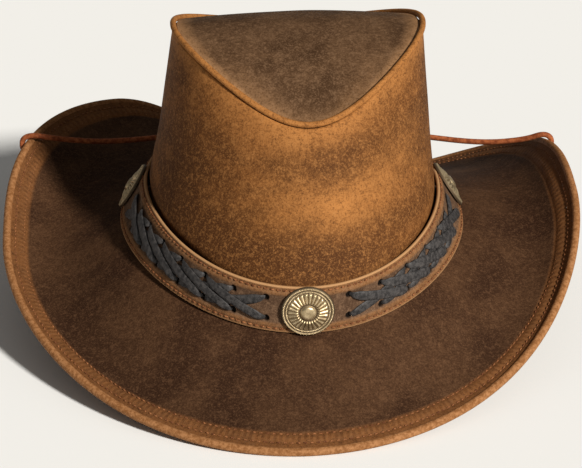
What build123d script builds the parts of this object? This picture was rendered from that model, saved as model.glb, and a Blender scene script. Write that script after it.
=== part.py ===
"""Leather cowboy hat with a laced hatband, three conchos and a stowed chin cord.

Millimetres. The hat stands on the front and back edges of its brim, the front faces -Y, +Z is up,
and +X is the wearer's left. Angles go round the hat anticlockwise seen from above, from +X.
Every leather piece is a strip or a sheet, so each is lofted round the hat through cross-sections.
"""
import os
from math import cos, degrees, exp, hypot, pi, radians, sin, tan

from build123d import *

# Where the crown meets the brim: the oval opening that fits a 57 cm head, a little forward of the middle
HEAD_SHIFT_Y = -4.0
OPENING_HALF_WIDTH = 79.4
OPENING_HALF_LENGTH = 104.1
OPENING_FRONT_HEIGHT = 39.3
OPENING_SIDE_RISE = 20.0
OPENING_LEFT_DIP = 6.5
OPENING_LEFT_DIP_ANGLE = 15.0
OPENING_RIGHT_DIP = 6.8
OPENING_RIGHT_DIP_ANGLE = 137.0
OPENING_DIP_SPREAD = 35.0

# Rim at the top of the crown
RIM_HALF_WIDTH = 65.5
RIM_HALF_LENGTH = 75.4
RIM_SHIFT_X = 3.3
RIM_SHIFT_Y = -5.8
RIM_HEIGHT = 167.0
RIM_FRONT_DIP = 28.8
RIM_FRONT_POWER = 2.33
RIM_BACK_DIP = 25.0
RIM_BACK_POWER = 1.5
RIM_FRONT_NARROWING = 0.21
RIM_BACK_NARROWING = 0.05

# Crown leather
WALL_THICKNESS = 1.8
WALL_FOOT_HALF_WIDTH = 77.6
WALL_FOOT_HALF_LENGTH = 106.0
WALL_BULGE = 6.0
WALL_FLARE = 3.6
WALL_FLARE_HEIGHT = 9.0
WALL_HEIGHT = 108.0
WALL_TOP_SHARE = 0.979
HUG_REACH = 4.3
HUG_SIDE_LOSS = 3.0
HUG_SIDE_POWER = 1.3
HUG_SKEW = 0.5
HUG_RISE = 0.22
HUG_SPREAD_BELOW = 0.06
HUG_SPREAD_ABOVE = 0.18
HUG_GAP_ANGLE = 90.0
HUG_GAP_SPREAD = 40.0
SEAM_HALF_GAP_ANGLE = 0.15
SEAM_STRIP_ANGLES = (86.0, 94.0)
SEAM_STRIP_LIFT = 0.25
SEAM_STRIP_FACE = 1.4
SEAM_STITCH_ANGLES = (87.0, 93.0)
SEAM_STITCH_HALF_ANGLE = 0.25
TIP_THICKNESS = 1.6
TIP_INSET = 1.95
TIP_DROP = 0.5
TIP_END_ANGLE = 84.0
TIP_FRONT_HOLLOW = 2.5
TIP_BACK_DOME = 4.5
WELT_RADIUS = 1.6

# Brim
BRIM_HALF_WIDTH = 155.2
BRIM_HALF_LENGTH = 174.9
BRIM_SHIFT_Y = -0.15
BRIM_SKEW = 4.5
BRIM_FRONT_SQUARENESS = 1.87
BRIM_BACK_SQUARENESS = 2.9
BRIM_SIDE_HEIGHT = 25.3
BRIM_SIDE_POWER = 2.66
RIGHT_LOBE_HEIGHT = 56.3
RIGHT_LOBE_ANGLE = 125.4
RIGHT_LOBE_SPREAD_BACK = 28.0
RIGHT_LOBE_SPREAD_FRONT = 50.0
LEFT_LOBE_HEIGHT = 44.4
LEFT_LOBE_ANGLE = 15.0
LEFT_LOBE_SPREAD = 38.0
BACK_SETTLE = 6.2
BACK_SETTLE_ANGLE = 76.0
BACK_SETTLE_SPREAD = 26.0
BRIM_SAG_SIDE = 14.0
BRIM_SAG_FRONT = 3.0
SAG_SCALE = 27 / 4
UPPER_THICKNESS = 1.6
LOWER_THICKNESS = 1.4
LAYER_GAP = 0.15
EDGE_RADIUS = 2.2
EDGE_REST = 3.16
WIRE_RADIUS = 1.0
WIRE_CLEARANCE = 0.1
CLEARANCE = 0.3

# Stitching
THREAD_WIDTH = 0.8
THREAD_DEPTH = 0.4
THREAD_LIFT = 0.12
OUTER_STITCH_INSET = 6.8
INNER_STITCH_INSET = 12.4

# Sweatband
SWEATBAND_HEIGHT = 36.0
SWEATBAND_FOOT = 1.5
SWEATBAND_STITCH_HEIGHT = 3.0
SWEATBAND_THICKNESS = 1.2
SWEATBAND_GAP = 0.5
REED_RADIUS = 1.0
REED_INSET = 1.6
REED_DROP = 0.3

# Hatband
BAND_HALF_WIDTH = 93.2
BAND_HALF_LENGTH = 109.7
BAND_FRONT_HEIGHT = 37.7
BAND_SIDE_RISE = 18.3
BAND_WIDTH = 26.0
BAND_THICKNESS = 2.0
BAND_LEAN_FRONT = -1.6
BAND_LEAN_SIDE = 33.0
BAND_JOINT_ANGLE = 90.0
BAND_JOINT_GAP = 0.4
PATCH_HALF_ANGLE = 11.0
PATCH_THICKNESS = 1.4
PATCH_MARGIN = 2.0
BACK_GAP = 0.2
BAND_STITCH_INSET = 1.8
BAND_STITCH_END_ANGLE = 0.5

# Lacing: two layers of dark strands between two rows of holes
LACE_WIDTH = 6.0
LACE_THICKNESS = 1.0
LACE_GAP = 0.15
LACE_END_ANGLE = 0.35
LACE_LOW_ROW = 7.2
LACE_HIGH_ROW = 18.8
LACE_PITCH_ANGLE = 11.5
LACE_REACH = 2
LACE_MARGIN_ANGLE = 13.0

# Conchos
CONCHO_RADIUS = 13.7
CONCHO_BACK = 0.7
CONCHO_FACE = 1.7
CONCHO_RIM = 2.4
CONCHO_FLUTES = 26
FLUTE_INNER_RADIUS = 5.25
FLUTE_OUTER_RADIUS = 10.2
FLUTE_WIDTH = 0.7
FLUTE_DEPTH = 0.6
FLUTE_TILT = 13.0
DISH_HEIGHT = 1.5
DOME_RADIUS = 3.8
DOME_HEIGHT = 4.2
CONCHO_POST_RADIUS = 2.0
CONCHO_HOLE_RADIUS = 2.1
SCREW_SHANK_RADIUS = 1.2
SCREW_FIT = 0.05
SCREW_HEAD_RADIUS = 4.2
SCREW_HEAD_HEIGHT = 1.2
SCREW_GAP = 0.35
SCREW_REACH = 0.6
SCREW_SLOT = 0.9
CONCHO_ANGLES = {"front": 270.0, "left": 5.0, "right": 169.0}

# Chin cord: from its knot under the wearer's right brim, out round the rolled edge, behind the crown
# over the top of the hatband, round the left edge and back to the knot under the left brim
CORD_DIAMETER = 3.2
CORD_ROUTE = [
    (-84.6, 3.9, 48.9),
    (-95.0, 9.3, 44.4),
    (-107.8, 20.5, 38.6),
    (-121.9, 39.4, 35.8),
    (-135.4, 65.3, 41.1),
    (-142.2, 85.5, 50.2),
    (-149.4, 97.5, 61.4),
    (-144.1, 94.5, 68.0),
    (-128.0, 95.6, 64.2),
    (-103.0, 97.4, 60.6),
    (-72.0, 99.2, 61.4),
    (-42.0, 100.6, 64.8),
    (-14.0, 101.6, 67.6),
    (14.0, 101.2, 67.8),
    (46.0, 95.4, 66.2),
    (82.0, 87.0, 62.9),
    (116.0, 79.0, 60.8),
    (140.0, 73.2, 64.4),
    (152.0, 70.5, 69.7),
    (157.3, 72.7, 62.9),
    (148.6, 65.5, 52.8),
    (139.4, 50.9, 47.1),
    (124.4, 32.0, 43.1),
    (109.8, 16.2, 43.7),
    (97.0, 5.3, 45.9),
    (86.7, 0.2, 47.2),
]
CORD_ARC_SHARE = 0.45
KNOT_RADIUS = 2.6
KNOT_OVERHANG = 0.6
TAB_INNER_RADIUS = 2.1
TAB_OUTER_RADIUS = 3.4
TAB_LENGTH = 7.0
TAB_DISTANCE = 4.0
TAB_REACH = 14.0
TAB_THICKNESS = 1.2
TAB_HALF_ANGLE = 2.6
TAB_ANGLES = {"left": 2.6, "right": 175.6}

HALF_TURN_STEPS = 24


def ellipse_point(angle, half_width, half_length):
    """Point of an oval round the head, in plan."""
    return half_width * cos(radians(angle)), half_length * sin(radians(angle)) + HEAD_SHIFT_Y


def ellipse_normal(angle, half_width, half_length):
    """Outward unit normal of that oval, in plan."""
    x, y = cos(radians(angle)) / half_width, sin(radians(angle)) / half_length
    length = hypot(x, y)
    return Vector(x / length, y / length, 0)


def hump(angle, centre, spread):
    """Smooth bump of height 1 centred on an angle."""
    away = (angle - centre + 180) % 360 - 180
    return exp(-((away / spread) ** 2))


def side_share(angle):
    """1 at the sides of the hat, 0 at its front and back."""
    return cos(radians(angle)) ** 2


def opening_point(angle):
    """Top of the brim's inner edge."""
    x, y = ellipse_point(angle, OPENING_HALF_WIDTH, OPENING_HALF_LENGTH)
    height = OPENING_FRONT_HEIGHT + OPENING_SIDE_RISE * side_share(angle)
    height -= OPENING_LEFT_DIP * hump(angle, OPENING_LEFT_DIP_ANGLE, OPENING_DIP_SPREAD)
    height -= OPENING_RIGHT_DIP * hump(angle, OPENING_RIGHT_DIP_ANGLE, OPENING_DIP_SPREAD)
    return Vector(x, y, height)


def rim_point(angle):
    """Centre line of the welt between the crown's wall and tip."""
    c, s = cos(radians(angle)), sin(radians(angle))
    narrowing = RIM_FRONT_NARROWING if s < 0 else RIM_BACK_NARROWING
    dip, power = (RIM_FRONT_DIP, RIM_FRONT_POWER) if s < 0 else (RIM_BACK_DIP, RIM_BACK_POWER)
    return Vector(
        RIM_SHIFT_X + RIM_HALF_WIDTH * c * (1 - narrowing * s * s),
        RIM_SHIFT_Y + RIM_HALF_LENGTH * s,
        RIM_HEIGHT - dip * abs(s) ** power,
    )


def wall_hug(angle, rise):
    """How far the wall bellies out towards the top edge of the hatband, except behind the head."""
    reach = HUG_REACH - HUG_SIDE_LOSS * side_share(angle) ** HUG_SIDE_POWER - HUG_SKEW * cos(radians(angle))
    reach *= 1 - hump(angle, HUG_GAP_ANGLE, HUG_GAP_SPREAD)
    spread = HUG_SPREAD_BELOW if rise < HUG_RISE else HUG_SPREAD_ABOVE
    return reach * exp(-(((rise - HUG_RISE) / spread) ** 2))


def wall_point(angle, rise, depth=0.0):
    """Point on the crown's wall: rise 0 at its foot and 1 at the rim, depth inward from its face."""
    x, y = ellipse_point(angle, WALL_FOOT_HALF_WIDTH, WALL_FOOT_HALF_LENGTH)
    foot = Vector(x, y, opening_point(angle).Z + CLEARANCE)
    outward = ellipse_normal(angle, WALL_FOOT_HALF_WIDTH, WALL_FOOT_HALF_LENGTH)
    bulge = WALL_BULGE * (1 - side_share(angle)) * 4 * rise * (1 - rise)
    flare = WALL_FLARE * side_share(angle) * exp(-((rise * WALL_HEIGHT / WALL_FLARE_HEIGHT) ** 2))
    swell = bulge + flare + wall_hug(angle, rise)
    return foot + (rim_point(angle) - foot) * rise + outward * (swell - depth)


def edge_height(angle):
    """Height of the brim's edge above the surface that the hat stands on."""
    c = cos(radians(angle))
    behind = angle % 360 < RIGHT_LOBE_ANGLE
    right_spread = RIGHT_LOBE_SPREAD_BACK if behind else RIGHT_LOBE_SPREAD_FRONT
    height = BRIM_SIDE_HEIGHT * abs(c) ** BRIM_SIDE_POWER
    height += RIGHT_LOBE_HEIGHT * hump(angle, RIGHT_LOBE_ANGLE, right_spread)
    height += LEFT_LOBE_HEIGHT * hump(angle, LEFT_LOBE_ANGLE, LEFT_LOBE_SPREAD)
    return height - BACK_SETTLE * hump(angle, BACK_SETTLE_ANGLE, BACK_SETTLE_SPREAD)


def edge_point(angle):
    """Outermost line of the brim."""
    c, s = cos(radians(angle)), sin(radians(angle))
    power = BRIM_FRONT_SQUARENESS if s < 0 else BRIM_BACK_SQUARENESS
    reach = (abs(c) ** power + abs(s) ** power) ** (-1 / power)
    along = reach * s
    x = BRIM_HALF_WIDTH * reach * c + BRIM_SKEW * along * abs(along)
    return Vector(x, BRIM_HALF_LENGTH * along + BRIM_SHIFT_Y, edge_height(angle) + EDGE_REST)


class BrimSection:
    """The brim's cross-section at one angle, in the upright plane from opening to edge."""

    def __init__(self, angle):
        self.start = opening_point(angle)
        end = edge_point(angle)
        across = Vector(end.X - self.start.X, end.Y - self.start.Y, 0)
        self.length = across.length
        self.out = across.normalized()
        self.rise = end.Z - self.start.Z
        self.sag = BRIM_SAG_FRONT + (BRIM_SAG_SIDE - BRIM_SAG_FRONT) * side_share(angle)

    def height(self, t):
        """Height over the opening's edge at a share t of the way out."""
        return self.rise * t - self.sag * SAG_SCALE * t * t * (1 - t)

    def slope(self, t):
        """Slope of the brim at a share t of the way out."""
        return (self.rise - self.sag * SAG_SCALE * (2 * t - 3 * t * t)) / self.length

    def inset(self, along):
        """Level distance from the opening of the line this far in from the edge, along the brim."""
        level = along
        for _ in range(3):
            level = along / hypot(1, self.slope(1 - level / 2 / self.length))
        return self.length - level

    def point(self, distance, depth=0.0):
        """Point at a level distance from the opening and a depth under the brim's upper face."""
        t = distance / self.length
        slope = self.slope(t)
        down = (self.out * slope - Vector(0, 0, 1)) * (depth / hypot(1, slope))
        return self.start + self.out * distance + Vector(0, 0, self.height(t)) + down


def band_point(angle, up, out=0.0):
    """Point on the hatband: up from its lower edge and out from its face."""
    x, y = ellipse_point(angle, BAND_HALF_WIDTH, BAND_HALF_LENGTH)
    outward = ellipse_normal(angle, BAND_HALF_WIDTH, BAND_HALF_LENGTH)
    lean = radians(BAND_LEAN_FRONT + (BAND_LEAN_SIDE - BAND_LEAN_FRONT) * side_share(angle))
    foot = Vector(x, y, BAND_FRONT_HEIGHT + BAND_SIDE_RISE * side_share(angle))
    along_face = Vector(0, 0, cos(lean)) - outward * sin(lean)
    away = outward * cos(lean) + Vector(0, 0, sin(lean))
    return foot + along_face * up + away * out


def four_sided(corners):
    """Closed wire through four corners."""
    return Wire.make_polygon(corners, close=True)


def strip_wire(outer, inner):
    """Closed wire of a curved strip's section, from two lists of points."""
    edges = [
        Edge.make_spline(outer),
        Edge.make_line(outer[-1], inner[-1]),
        Edge.make_spline(list(reversed(inner))),
        Edge.make_line(inner[0], outer[0]),
    ]
    return Wire(edges)


def angles_between(first, last, steps):
    """Evenly spaced angles, ends included."""
    return [first + (last - first) * i / steps for i in range(steps + 1)]


def loft_run(section, first, last, steps):
    """Solid through the sections from one angle to another."""
    return Solid.make_loft([section(angle) for angle in angles_between(first, last, steps)])


def loft_ring(section):
    """Closed ring: two lofted halves joined at the front and the back of the hat."""
    right = loft_run(section, 90, 270, HALF_TURN_STEPS)
    left = loft_run(section, 270, 450, HALF_TURN_STEPS)
    return right + left


def quarter_runs(section, first, gap):
    """Four open runs once round the hat, for a thin strip that is broken at the quarters."""
    starts = [first + 90 * quarter for quarter in range(4)]
    return [loft_run(section, start + gap, start + 90 - gap, HALF_TURN_STEPS // 2) for start in starts]


def ring_tube(path, radius, arcs=1):
    """Round ring of one radius along a closed path, its circle drawn as a number of equal arcs."""
    turn = 360 / arcs

    def section(angle):
        here = path(angle)
        tangent = (path(angle + 0.5) - path(angle - 0.5)).normalized()
        level_out = tangent.cross(Vector(0, 0, 1))
        plane = Plane(origin=here, x_dir=level_out, z_dir=tangent)
        return Wire([Edge.make_circle(radius, plane, turn * arc, turn * (arc + 1)) for arc in range(arcs)])

    return loft_ring(section)


def make_crown_wall():
    rises = [0, 0.04, 0.1, 0.15, 0.19, 0.23, 0.3, 0.4, 0.5, 0.65, 0.8, WALL_TOP_SHARE]

    def section(angle):
        outer = [wall_point(angle, rise) for rise in rises]
        inner = [wall_point(angle, rise, WALL_THICKNESS) for rise in rises]
        return strip_wire(outer, inner)

    return loft_run(section, 90 + SEAM_HALF_GAP_ANGLE, 450 - SEAM_HALF_GAP_ANGLE, 2 * HALF_TURN_STEPS)


def make_back_seam_strip():
    rises = [0.26, 0.4, 0.55, 0.7, 0.85, 0.95]

    def section(angle):
        outer = [wall_point(angle, rise, -SEAM_STRIP_FACE) for rise in rises]
        inner = [wall_point(angle, rise, -SEAM_STRIP_LIFT) for rise in rises]
        return strip_wire(outer, inner)

    return loft_run(section, *SEAM_STRIP_ANGLES, 4)


def make_back_stitches():
    rises = [0.28, 0.4, 0.55, 0.7, 0.85, 0.93]
    lift = SEAM_STRIP_FACE + THREAD_LIFT

    def section(angle):
        outer = [wall_point(angle, rise, -lift - THREAD_DEPTH) for rise in rises]
        inner = [wall_point(angle, rise, -lift) for rise in rises]
        return strip_wire(outer, inner)

    half = SEAM_STITCH_HALF_ANGLE
    return [loft_run(section, middle - half, middle + half, 1) for middle in SEAM_STITCH_ANGLES]


def tip_edge(angle):
    """Edge of the crown's tip, just inside the welt."""
    ahead = rim_point(angle + 0.5) - rim_point(angle - 0.5)
    level_out = Vector(ahead.Y, -ahead.X, 0).normalized()
    return rim_point(angle) - level_out * TIP_INSET - Vector(0, 0, TIP_DROP)


def make_crown_tip():
    """Sheet across the rim: hollow between the two front pinches and domed towards the back."""
    shares = [-1, -0.6, -0.2, 0.2, 0.6, 1]

    def section(angle):
        left, right = tip_edge(angle), tip_edge(180 - angle)
        middle, half = (left + right) / 2, (left.X - right.X) / 2
        back = (sin(radians(angle)) + 1) / 2
        dome = TIP_BACK_DOME * back - TIP_FRONT_HOLLOW * (1 - back)
        top = [middle + Vector(share * half, 0, dome * (1 - share * share)) for share in shares]
        under = [point - Vector(0, 0, TIP_THICKNESS) for point in top]
        return strip_wire(top, under)

    return loft_run(section, -TIP_END_ANGLE, TIP_END_ANGLE, 21)


def make_welt():
    return ring_tube(rim_point, WELT_RADIUS)


def make_brim_layer(top, bottom):
    shares = [0, 0.15, 0.35, 0.55, 0.75, 0.9, 1]

    def section(angle):
        brim = BrimSection(angle)
        reach = brim.inset(2 * EDGE_RADIUS + CLEARANCE)
        upper = [brim.point(share * reach, top) for share in shares]
        lower = [brim.point(share * reach, bottom) for share in shares]
        return strip_wire(upper, lower)

    return loft_ring(section)


def edge_centre(angle):
    """Centre line of the rolled edge of the brim."""
    brim = BrimSection(angle)
    return brim.point(brim.inset(EDGE_RADIUS), (UPPER_THICKNESS + LAYER_GAP + LOWER_THICKNESS) / 2)


def make_edge_binding():
    return ring_tube(edge_centre, EDGE_RADIUS) - ring_tube(edge_centre, WIRE_RADIUS + WIRE_CLEARANCE)


def make_brim_wire():
    return ring_tube(edge_centre, WIRE_RADIUS, 6)


def make_brim_stitches(inset):
    def section(angle):
        brim = BrimSection(angle)
        near, far = brim.inset(inset + THREAD_WIDTH / 2), brim.inset(inset - THREAD_WIDTH / 2)
        low, high = -THREAD_LIFT, -THREAD_LIFT - THREAD_DEPTH
        corners = [brim.point(near, low), brim.point(far, low), brim.point(far, high)]
        corners.append(brim.point(near, high))
        return four_sided(corners)

    return quarter_runs(section, 90, 0.2)


def sweatband_point(angle, up, depth):
    """Point on the sweatband, which follows the wall's inner face."""
    height = (rim_point(angle).Z - opening_point(angle).Z)
    return wall_point(angle, up / height, WALL_THICKNESS + SWEATBAND_GAP + depth)


def make_sweatband():
    heights = [SWEATBAND_FOOT, 6, 10, 13, 16, 19, 22, 25, 28, 32, SWEATBAND_HEIGHT]

    def section(angle):
        outer = [sweatband_point(angle, up, 0) for up in heights]
        inner = [sweatband_point(angle, up, SWEATBAND_THICKNESS) for up in heights]
        return strip_wire(outer, inner)

    gap = 2 * SEAM_HALF_GAP_ANGLE
    return loft_run(section, 90 + gap, 450 - gap, 2 * HALF_TURN_STEPS)


def make_sweatband_stitches():
    low, high = SWEATBAND_STITCH_HEIGHT, SWEATBAND_STITCH_HEIGHT + THREAD_WIDTH
    near = SWEATBAND_THICKNESS + THREAD_LIFT
    far = near + THREAD_DEPTH

    def section(angle):
        corners = [sweatband_point(angle, low, near), sweatband_point(angle, high, near)]
        corners += [sweatband_point(angle, high, far), sweatband_point(angle, low, far)]
        return four_sided(corners)

    return quarter_runs(section, 90, 0.4)


def make_reed():
    def path(angle):
        x, y = ellipse_point(angle, OPENING_HALF_WIDTH - REED_INSET, OPENING_HALF_LENGTH - REED_INSET)
        return Vector(x, y, opening_point(angle).Z - REED_DROP)

    return ring_tube(path, REED_RADIUS)


def band_section(low, high, inner, outer):
    """Section function of a piece that lies on the hatband, from functions of the angle."""

    def section(angle):
        bottom, top = low(angle), high(angle)
        corners = [band_point(angle, bottom, inner), band_point(angle, bottom, outer)]
        corners += [band_point(angle, top, outer), band_point(angle, top, inner)]
        return four_sided(corners)

    return section


def band_piece(first, last, steps, bottom, top, inner, outer):
    """Piece of even width on the hatband."""
    section = band_section(lambda angle: bottom, lambda angle: top, inner, outer)
    return loft_run(section, first, last, steps)


def concho_plane(angle):
    """Plane on the strap's face with its normal pointing away from the hat."""
    middle = band_point(angle, BAND_WIDTH / 2)
    away = band_point(angle, BAND_WIDTH / 2, 1) - middle
    up = band_point(angle, BAND_WIDTH / 2 + 1) - middle
    return Plane(origin=middle, x_dir=up.cross(away), z_dir=away)


def lace_spans():
    """First and last hole angle of each laced stretch of the strap, clear of the conchos."""
    margin = LACE_MARGIN_ANGLE
    front, left, right = CONCHO_ANGLES["front"], CONCHO_ANGLES["left"], CONCHO_ANGLES["right"]
    return {
        "lace_front_left": (front + margin, left + 360 - margin),
        "lace_front_right": (right + margin, front - margin),
        "lace_back": (left + margin, right - margin),
    }


def lace_hole_angles(first, last):
    """Angles of the punched holes of one laced stretch."""
    count = round((last - first) / LACE_PITCH_ANGLE)
    return angles_between(first, last, count)


def make_strand(start, end, start_row, end_row, inner):
    """One straight strand of lace from a hole of one row to a hole of the other."""
    half = LACE_WIDTH / 2

    def middle(angle):
        return start_row + (end_row - start_row) * (angle - start) / (end - start)

    section = band_section(
        lambda angle: middle(angle) - half,
        lambda angle: middle(angle) + half,
        inner,
        inner + LACE_THICKNESS,
    )
    return loft_run(section, start + LACE_END_ANGLE, end - LACE_END_ANGLE, 4)


def make_lace(first, last):
    """Crossed strands: one layer rises to the right, the other falls and lies over it."""
    strands = []
    holes = lace_hole_angles(first, last)
    for start, end in zip(holes, holes[LACE_REACH:]):
        strands.append(make_strand(start, end, LACE_LOW_ROW, LACE_HIGH_ROW, LACE_GAP))
        strands.append(make_strand(start, end, LACE_HIGH_ROW, LACE_LOW_ROW, 2 * LACE_GAP + LACE_THICKNESS))
    return strands


def make_strap():
    half_gap = degrees(BAND_JOINT_GAP / 2 / BAND_HALF_WIDTH)
    first, last = BAND_JOINT_ANGLE + half_gap, BAND_JOINT_ANGLE + 360 - half_gap
    strap = band_piece(first, last, 2 * HALF_TURN_STEPS, 0, BAND_WIDTH, -BAND_THICKNESS, 0)
    cutters = []
    for angle in CONCHO_ANGLES.values():
        cutters.append(concho_plane(angle) * Cylinder(CONCHO_HOLE_RADIUS, 3 * BAND_THICKNESS))
    return strap - cutters


def make_patch():
    first, last = BAND_JOINT_ANGLE - PATCH_HALF_ANGLE, BAND_JOINT_ANGLE + PATCH_HALF_ANGLE
    face = -BAND_THICKNESS - BACK_GAP
    return band_piece(first, last, 4, PATCH_MARGIN, BAND_WIDTH - PATCH_MARGIN, face - PATCH_THICKNESS, face)


def make_band_stitches(low):
    first = BAND_JOINT_ANGLE + BAND_STITCH_END_ANGLE
    last = BAND_JOINT_ANGLE + 360 - BAND_STITCH_END_ANGLE
    high = THREAD_LIFT + THREAD_DEPTH
    return band_piece(first, last, 2 * HALF_TURN_STEPS, low, low + THREAD_WIDTH, THREAD_LIFT, high)


def turned(profile):
    """Solid of revolution about Z from a closed outline of (radius, height) points."""
    outline = Polyline(*[(radius, 0, height) for radius, height in profile], close=True)
    return revolve(make_face(outline), Axis.Z)


def concho_profile():
    """Half outline of a concho: threaded post, two raised rings at the edge and a dome in the middle."""
    post_end = -BAND_THICKNESS - BACK_GAP
    bore = SCREW_SHANK_RADIUS + SCREW_FIT
    bore_end = CONCHO_BACK + SCREW_REACH
    return [
        (bore, post_end),
        (CONCHO_POST_RADIUS, post_end),
        (CONCHO_POST_RADIUS, CONCHO_BACK),
        (CONCHO_RADIUS, CONCHO_BACK),
        (CONCHO_RADIUS, CONCHO_FACE),
        (CONCHO_RADIUS - 0.7, CONCHO_RIM),
        (CONCHO_RADIUS - 1.7, CONCHO_FACE),
        (CONCHO_RADIUS - 2.6, CONCHO_RIM),
        (CONCHO_RADIUS - 3.4, CONCHO_FACE + 0.2),
        (DOME_RADIUS + 0.4, CONCHO_FACE + DISH_HEIGHT),
        (DOME_RADIUS, CONCHO_FACE + DISH_HEIGHT - 0.5),
        (DOME_RADIUS - 0.8, CONCHO_FACE + DOME_HEIGHT - 1.2),
        (DOME_RADIUS - 2.4, CONCHO_FACE + DOME_HEIGHT - 0.3),
        (0, CONCHO_FACE + DOME_HEIGHT),
        (0, bore_end),
        (bore, bore_end),
    ]


def make_concho(angle):
    """Fluted disc on its post."""
    middle = (FLUTE_INNER_RADIUS + FLUTE_OUTER_RADIUS) / 2
    cutter = Box(FLUTE_OUTER_RADIUS - FLUTE_INNER_RADIUS, FLUTE_WIDTH, 2 * FLUTE_DEPTH)
    groove = Pos(middle, 0, CONCHO_FACE + DISH_HEIGHT / 2) * Rot(0, FLUTE_TILT, 0) * cutter
    grooves = [Rot(0, 0, i * 360 / CONCHO_FLUTES) * groove for i in range(CONCHO_FLUTES)]
    return concho_plane(angle) * (turned(concho_profile()) - grooves)


def make_concho_screw(angle):
    """Slotted screw behind the strap, its shank inside the concho's post."""
    top = -BAND_THICKNESS - SCREW_GAP
    bottom = top - SCREW_HEAD_HEIGHT
    screw = turned(
        [
            (0, bottom),
            (SCREW_HEAD_RADIUS - 0.5, bottom),
            (SCREW_HEAD_RADIUS, bottom + 0.5),
            (SCREW_HEAD_RADIUS, top),
            (SCREW_SHANK_RADIUS, top),
            (SCREW_SHANK_RADIUS, SCREW_REACH),
            (0, SCREW_REACH),
        ]
    )
    slot = Pos(0, 0, bottom) * Box(2 * SCREW_HEAD_RADIUS, SCREW_SLOT, SCREW_SLOT)
    return concho_plane(angle) * (screw - slot)


def cord_radii():
    """Arc radius at each corner of the cord's route, as large as its two runs allow."""
    points = [Vector(*point) for point in CORD_ROUTE]
    radii = []
    for before, here, after in zip(points, points[1:], points[2:]):
        arriving, leaving = here - before, after - here
        half_turn = radians(arriving.get_angle(leaving)) / 2
        radii.append(CORD_ARC_SHARE * min(arriving.length, leaving.length) / tan(half_turn))
    return radii


def make_chin_cord():
    radii = cord_radii()
    path = FilletPolyline(*CORD_ROUTE, radius=radii)
    profile = Plane(origin=path @ 0, z_dir=path % 0) * Circle(CORD_DIAMETER / 2)
    cord = sweep(profile, path=path)
    section = pi * CORD_DIAMETER**2 / 4
    print("cord radii", [round(radius, 1) for radius in radii])
    print("cord length", round(path.length, 1), "volume share", round(cord.volume / section / path.length, 4))
    return cord


def cord_end_plane(end):
    """Plane at one end of the cord, with its normal pointing along the cord."""
    first, second = (CORD_ROUTE[0], CORD_ROUTE[1]) if end == "right" else (CORD_ROUTE[-1], CORD_ROUTE[-2])
    return Plane(origin=first, z_dir=Vector(*second) - Vector(*first))


def make_cord_knot(end):
    """Stopper knot, whose face the cord's end meets."""
    ball = Pos(0, 0, KNOT_OVERHANG - KNOT_RADIUS) * Sphere(KNOT_RADIUS)
    trimmed = ball - Pos(0, 0, KNOT_RADIUS) * Box(4 * KNOT_RADIUS, 4 * KNOT_RADIUS, 2 * KNOT_RADIUS)
    return cord_end_plane(end) * trimmed


def make_cord_tab(end):
    """Leather loop that holds the cord just past its knot, on a strip sewn in at the head opening."""
    loop = Cylinder(TAB_OUTER_RADIUS, TAB_LENGTH) - Cylinder(TAB_INNER_RADIUS, 2 * TAB_LENGTH)
    loop = cord_end_plane(end) * Pos(0, 0, TAB_DISTANCE) * loop
    top = UPPER_THICKNESS + LAYER_GAP + LOWER_THICKNESS + CLEARANCE
    distances = [0.5, 5, 10, TAB_REACH]

    def section(angle):
        brim = BrimSection(angle)
        upper = [brim.point(distance, top) for distance in distances]
        lower = [brim.point(distance, top + TAB_THICKNESS) for distance in distances]
        return strip_wire(upper, lower)

    middle = TAB_ANGLES[end]
    strip = loft_run(section, middle - TAB_HALF_ANGLE, middle + TAB_HALF_ANGLE, 2)
    knot_room = Pos(0, 0, KNOT_OVERHANG - KNOT_RADIUS) * Sphere(KNOT_RADIUS + CLEARANCE)
    return loop + strip - cord_end_plane(end) * knot_room


def save(name, shape):
    """Writes one piece, or a group of separate solids, as parts/NAME.step."""
    group = Compound(children=list(shape)) if isinstance(shape, list) else shape
    group.label = name
    export_step(group, f"parts/{name}.step")


def main():
    os.makedirs("parts", exist_ok=True)
    save("crown_wall", make_crown_wall())
    save("crown_tip", make_crown_tip())
    save("crown_welt", make_welt())
    save("crown_back_seam_strip", make_back_seam_strip())
    save("crown_back_stitches", make_back_stitches())
    save("brim_upper", make_brim_layer(0, UPPER_THICKNESS))
    lower_top = UPPER_THICKNESS + LAYER_GAP
    save("brim_lower", make_brim_layer(lower_top, lower_top + LOWER_THICKNESS))
    save("brim_edge_binding", make_edge_binding())
    save("brim_wire", make_brim_wire())
    save("brim_stitches_outer", make_brim_stitches(OUTER_STITCH_INSET))
    save("brim_stitches_inner", make_brim_stitches(INNER_STITCH_INSET))
    save("sweatband", make_sweatband())
    save("sweatband_stitches", make_sweatband_stitches())
    save("sweatband_reed", make_reed())
    save("hatband_strap", make_strap())
    save("hatband_joining_patch", make_patch())
    save("hatband_stitches_bottom", make_band_stitches(BAND_STITCH_INSET))
    save("hatband_stitches_top", make_band_stitches(BAND_WIDTH - BAND_STITCH_INSET - THREAD_WIDTH))
    for name, (first, last) in lace_spans().items():
        save(name, make_lace(first, last))
    for side, angle in CONCHO_ANGLES.items():
        save(f"concho_{side}", make_concho(angle))
        save(f"concho_screw_{side}", make_concho_screw(angle))
    save("chin_cord", make_chin_cord())
    for end in ("left", "right"):
        save(f"cord_tab_{end}", make_cord_tab(end))
        save(f"cord_knot_{end}", make_cord_knot(end))


main()
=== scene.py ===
"""Looks of the leather cowboy hat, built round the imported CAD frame.

Lengths are worked out in millimetres and multiplied by MM when they become mesh points, so that the
shape formulas read as they do in part.py. Angles go round the hat anticlockwise seen from above.
"""
import math

import bmesh
import bpy
import numpy as np
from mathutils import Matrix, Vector, noise


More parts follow.
